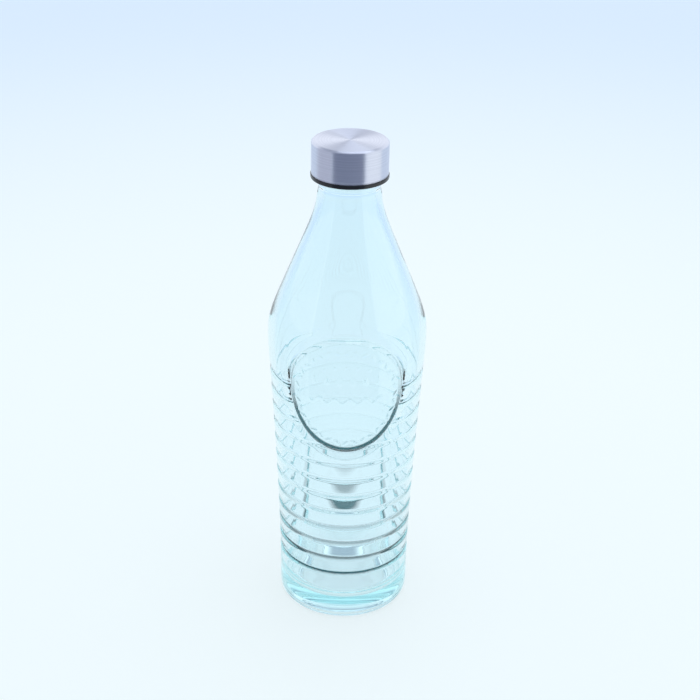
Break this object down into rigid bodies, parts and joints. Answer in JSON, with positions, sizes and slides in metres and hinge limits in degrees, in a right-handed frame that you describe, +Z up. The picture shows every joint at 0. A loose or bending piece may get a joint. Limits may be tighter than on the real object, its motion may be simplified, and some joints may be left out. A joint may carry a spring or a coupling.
{
  "type": "glass water bottle",
  "caption": "Clear ribbed glass water bottle with a conical shoulder, a plain round embossed emblem and a brushed steel screw cap.",
  "frame": {"origin": "centre of the base, on the surface the bottle stands on", "axes": "+Z up along the bottle's axis; the embossed emblem faces -Y"},
  "size_m": [0.09, 0.0916, 0.287],
  "materials": {
    "glass": "clear, polished",
    "steel": "spun brushed",
    "black_plastic": "satin gloss",
    "silicone": "matte translucent"
  },
  "bodies": {
    "bottle": {"glass_bottle": "glass"},
    "seal": {"seal_ring": "silicone"},
    "cap": {"threaded_insert": "black_plastic", "steel_shell": "steel"}
  },
  "joints": [
    {"name": "cap_rise", "type": "slide", "parent": "bottle", "child": "seal", "axis": [0, 0, 1], "range_m": [0, 0.0191]},
    {"name": "cap_turn", "type": "hinge", "parent": "seal", "child": "cap", "pos_m": [0, 0, 0.275], "axis": [0, 0, 1], "range_deg": [0, 1710]}
  ],
  "couplings": [
    {"joint": "cap_rise", "follows": "cap_turn", "m_per_rad": 0.00063662}
  ]
}
